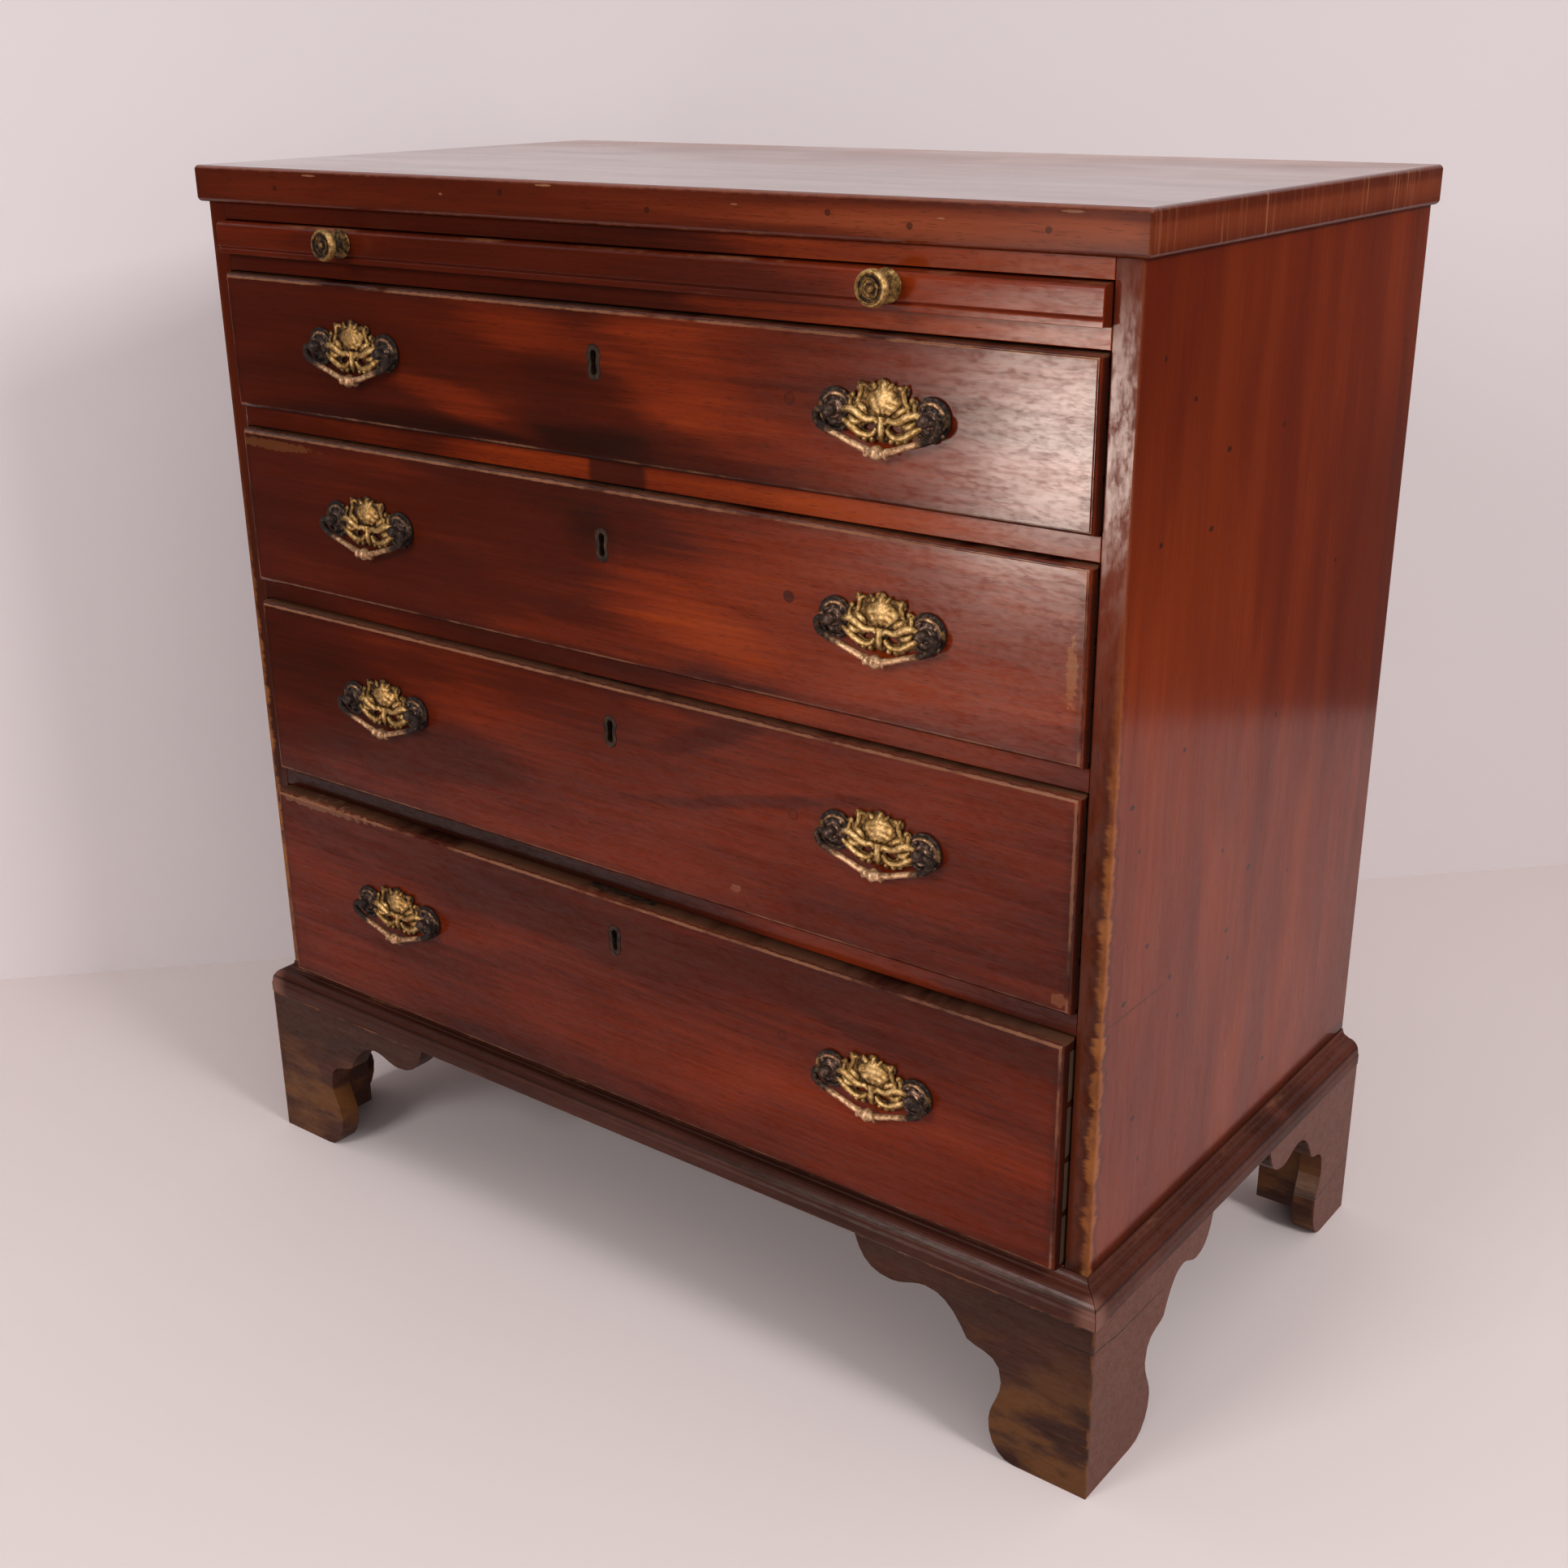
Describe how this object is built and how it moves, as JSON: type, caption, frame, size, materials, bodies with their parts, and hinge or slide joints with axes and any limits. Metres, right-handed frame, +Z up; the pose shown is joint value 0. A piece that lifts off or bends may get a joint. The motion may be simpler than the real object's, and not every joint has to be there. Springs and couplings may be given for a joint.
{
  "type": "bachelors chest",
  "caption": "Low chest of graduated drawers with a brushing slide under its top, pierced plates with swinging bails, a moulded base and ogee bracket feet.",
  "frame": {"origin": "on the floor under the middle of the whole chest, base moulding and knobs included", "axes": "+Z up, the drawer fronts face -Y, +X to the right of someone facing the back"},
  "size_m": [0.799, 0.44, 0.8075],
  "materials": {
    "mahogany_front": "figured mahogany, french polished, semi gloss",
    "mahogany_side": "plain mahogany, worn polish",
    "mahogany_top": "mahogany, polished",
    "mahogany_base": "dark mahogany, dull and rubbed",
    "oak": "oak, unfinished",
    "pine": "pine, unfinished",
    "brass": "cast brass, lacquer worn, dark in the hollows",
    "iron": "wrought iron and brass, dull"
  },
  "bodies": {
    "carcass": {"top": "mahogany_top", "side_left": "mahogany_side", "side_right": "mahogany_side", "back_panel": "pine", "top_rail": "mahogany_front", "slide_rail": "mahogany_front", "divider_upper": "mahogany_front", "divider_middle": "mahogany_front", "divider_lower": "mahogany_front", "bottom_board": "mahogany_front", "base_moulding_front": "mahogany_base", "base_moulding_right": "mahogany_base", "base_moulding_left": "mahogany_base", "foot_front_left": "mahogany_base", "foot_front_right": "mahogany_base", "foot_back_left": "mahogany_base", "foot_back_right": "mahogany_base"},
    "slide": {"brushing_slide": "mahogany_front", "slide_knob_left": "brass", "slide_knob_right": "brass"},
    "drawer1": {"drawer1_front": "mahogany_front", "drawer1_side_left": "oak", "drawer1_side_right": "oak", "drawer1_back": "oak", "drawer1_bottom": "oak", "drawer1_lock": "iron", "drawer1_plate_left": "brass", "drawer1_plate_right": "brass"},
    "drawer1_bail_left": {"drawer1_bail_left": "brass"},
    "drawer1_bail_right": {"drawer1_bail_right": "brass"},
    "drawer2": {"drawer2_front": "mahogany_front", "drawer2_side_left": "oak", "drawer2_side_right": "oak", "drawer2_back": "oak", "drawer2_bottom": "oak", "drawer2_lock": "iron", "drawer2_plate_left": "brass", "drawer2_plate_right": "brass"},
    "drawer2_bail_left": {"drawer2_bail_left": "brass"},
    "drawer2_bail_right": {"drawer2_bail_right": "brass"},
    "drawer3": {"drawer3_front": "mahogany_front", "drawer3_side_left": "oak", "drawer3_side_right": "oak", "drawer3_back": "oak", "drawer3_bottom": "oak", "drawer3_lock": "iron", "drawer3_plate_left": "brass", "drawer3_plate_right": "brass"},
    "drawer3_bail_left": {"drawer3_bail_left": "brass"},
    "drawer3_bail_right": {"drawer3_bail_right": "brass"},
    "drawer4": {"drawer4_front": "mahogany_front", "drawer4_side_left": "oak", "drawer4_side_right": "oak", "drawer4_back": "oak", "drawer4_bottom": "oak", "drawer4_lock": "iron", "drawer4_plate_left": "brass", "drawer4_plate_right": "brass"},
    "drawer4_bail_left": {"drawer4_bail_left": "brass"},
    "drawer4_bail_right": {"drawer4_bail_right": "brass"}
  },
  "joints": [
    {"name": "brushing_slide_travel", "type": "slide", "parent": "carcass", "child": "slide", "axis": [0, -1, 0], "range_m": [0, 0.25]},
    {"name": "drawer1_travel", "type": "slide", "parent": "carcass", "child": "drawer1", "axis": [0, -1, 0], "range_m": [0, 0.3]},
    {"name": "drawer1_bail_left_swing", "type": "hinge", "parent": "drawer1", "child": "drawer1_bail_left", "pos_m": [-0.2275, -0.2075, 0.688], "axis": [-1, 0, 0], "range_deg": [-5, 150]},
    {"name": "drawer1_bail_right_swing", "type": "hinge", "parent": "drawer1", "child": "drawer1_bail_right", "pos_m": [0.2275, -0.2075, 0.688], "axis": [-1, 0, 0], "range_deg": [-5, 150]},
    {"name": "drawer2_travel", "type": "slide", "parent": "carcass", "child": "drawer2", "axis": [0, -1, 0], "range_m": [0, 0.3]},
    {"name": "drawer2_bail_left_swing", "type": "hinge", "parent": "drawer2", "child": "drawer2_bail_left", "pos_m": [-0.2275, -0.2075, 0.5622], "axis": [-1, 0, 0], "range_deg": [-5, 150]},
    {"name": "drawer2_bail_right_swing", "type": "hinge", "parent": "drawer2", "child": "drawer2_bail_right", "pos_m": [0.2275, -0.2075, 0.5622], "axis": [-1, 0, 0], "range_deg": [-5, 150]},
    {"name": "drawer3_travel", "type": "slide", "parent": "carcass", "child": "drawer3", "axis": [0, -1, 0], "range_m": [0, 0.3]},
    {"name": "drawer3_bail_left_swing", "type": "hinge", "parent": "drawer3", "child": "drawer3_bail_left", "pos_m": [-0.2275, -0.2075, 0.4224], "axis": [-1, 0, 0], "range_deg": [-5, 150]},
    {"name": "drawer3_bail_right_swing", "type": "hinge", "parent": "drawer3", "child": "drawer3_bail_right", "pos_m": [0.2275, -0.2075, 0.4224], "axis": [-1, 0, 0], "range_deg": [-5, 150]},
    {"name": "drawer4_travel", "type": "slide", "parent": "carcass", "child": "drawer4", "axis": [0, -1, 0], "range_m": [0, 0.3]},
    {"name": "drawer4_bail_left_swing", "type": "hinge", "parent": "drawer4", "child": "drawer4_bail_left", "pos_m": [-0.2275, -0.2125, 0.2524], "axis": [-1, 0, 0], "range_deg": [-5, 150]},
    {"name": "drawer4_bail_right_swing", "type": "hinge", "parent": "drawer4", "child": "drawer4_bail_right", "pos_m": [0.2275, -0.2125, 0.2524], "axis": [-1, 0, 0], "range_deg": [-5, 150]}
  ]
}
